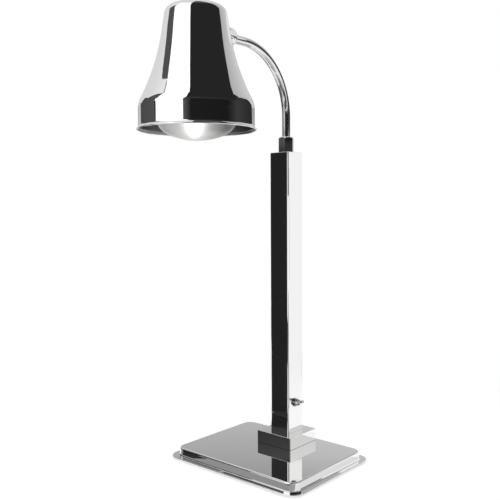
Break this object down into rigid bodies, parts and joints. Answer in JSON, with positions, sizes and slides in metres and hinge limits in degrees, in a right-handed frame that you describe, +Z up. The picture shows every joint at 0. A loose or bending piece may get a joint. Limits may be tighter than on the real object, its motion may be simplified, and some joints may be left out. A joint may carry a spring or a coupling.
{
  "type": "food heat lamp",
  "caption": "Table lamp that keeps food warm: base tray, square post, bent arm, swivel ball and a bell shade over a reflector heat bulb.",
  "frame": {"origin": "on the table, under the middle of the lamp's bounding box", "axes": "+Z up, +X along the base's long side towards the switch, the arm reaches towards -Y"},
  "size_m": [0.276, 0.3598, 0.7272],
  "materials": {
    "polished_steel": "mirror-polished stainless steel",
    "chrome_plate": "chromium plate on turned brass or steel",
    "plain_steel": "bright zinc-plated steel",
    "ballast_steel": "black painted steel plate",
    "rubber": "matt black rubber",
    "porcelain": "white glazed porcelain",
    "brass": "bright brass",
    "bulb_glass": "clear face, silvered back",
    "inner_glass": "clear glass",
    "tungsten": "drawn wire",
    "black_plastic": "moulded phenolic plastic",
    "white_plastic": "white polyamide",
    "silicone": "silicone sheath"
  },
  "bodies": {
    "base": {"base_cover": "polished_steel", "post_tube": "polished_steel", "foot_collar": "polished_steel", "post_top_cap": "polished_steel", "gland_nut": "chrome_plate", "switch_bushing": "chrome_plate", "switch_nut": "chrome_plate", "switch_lock_washer": "chrome_plate", "base_bottom_plate": "plain_steel", "bottom_plate_screws": "plain_steel", "foot_screws": "plain_steel", "post_flange": "plain_steel", "post_bolts": "plain_steel", "terminal_screws": "plain_steel", "terminal_block_screw": "plain_steel", "earth_stud": "plain_steel", "earth_nut": "plain_steel", "ballast_plate": "ballast_steel", "rubber_foot_1": "rubber", "rubber_foot_2": "rubber", "rubber_foot_3": "rubber", "rubber_foot_4": "rubber", "cord_grommet": "rubber", "post_bush": "brass", "switch_terminals": "brass", "switch_body": "black_plastic", "terminal_block": "white_plastic", "lower_friction_washer": "white_plastic", "upper_friction_washer": "white_plastic", "feed_leads": "silicone", "post_cable": "silicone"},
    "arm": {"arm_tube": "chrome_plate", "arm_stem_ring": "chrome_plate", "swivel_ball": "chrome_plate", "arm_cable": "silicone"},
    "seat": {"ball_seat": "chrome_plate", "ball_inner_washer": "plain_steel"},
    "head": {"swivel_nipple": "plain_steel", "nipple_ball_nut": "plain_steel", "outer_saddle": "chrome_plate", "inner_saddle": "plain_steel", "nipple_spring_washer": "plain_steel", "nipple_lock_nut": "plain_steel", "shade": "polished_steel", "lampholder_foot": "plain_steel", "foot_plate_screws": "plain_steel", "foot_plate_nuts": "plain_steel", "holder_screws": "plain_steel", "lampholder_body": "porcelain", "lampholder_shell": "brass", "lampholder_contact": "brass", "bulb_glass": "bulb_glass", "bulb_cap": "brass", "bulb_contact": "inner_glass", "bulb_stem": "inner_glass", "bulb_supports": "tungsten", "bulb_filament": "tungsten", "head_leads": "silicone"},
    "lever": {"switch_lever": "chrome_plate"}
  },
  "joints": [
    {"name": "arm_swivel", "type": "hinge", "parent": "base", "child": "arm", "pos_m": [0, 0.1237, 0.541], "axis": [0, 0, 1], "range_deg": [-90, 90]},
    {"name": "head_tilt", "type": "hinge", "parent": "arm", "child": "seat", "pos_m": [0, -0.0219, 0.6923], "axis": [1, 0, 0], "range_deg": [-35, 20]},
    {"name": "head_turn", "type": "hinge", "parent": "seat", "child": "head", "pos_m": [0, -0.0219, 0.6923], "axis": [0, -1, 0], "range_deg": [-60, 60]},
    {"name": "switch_lever", "type": "hinge", "parent": "base", "child": "lever", "pos_m": [0.0215, 0.1237, 0.091], "axis": [0, 1, 0], "range_deg": [0, 26]}
  ]
}
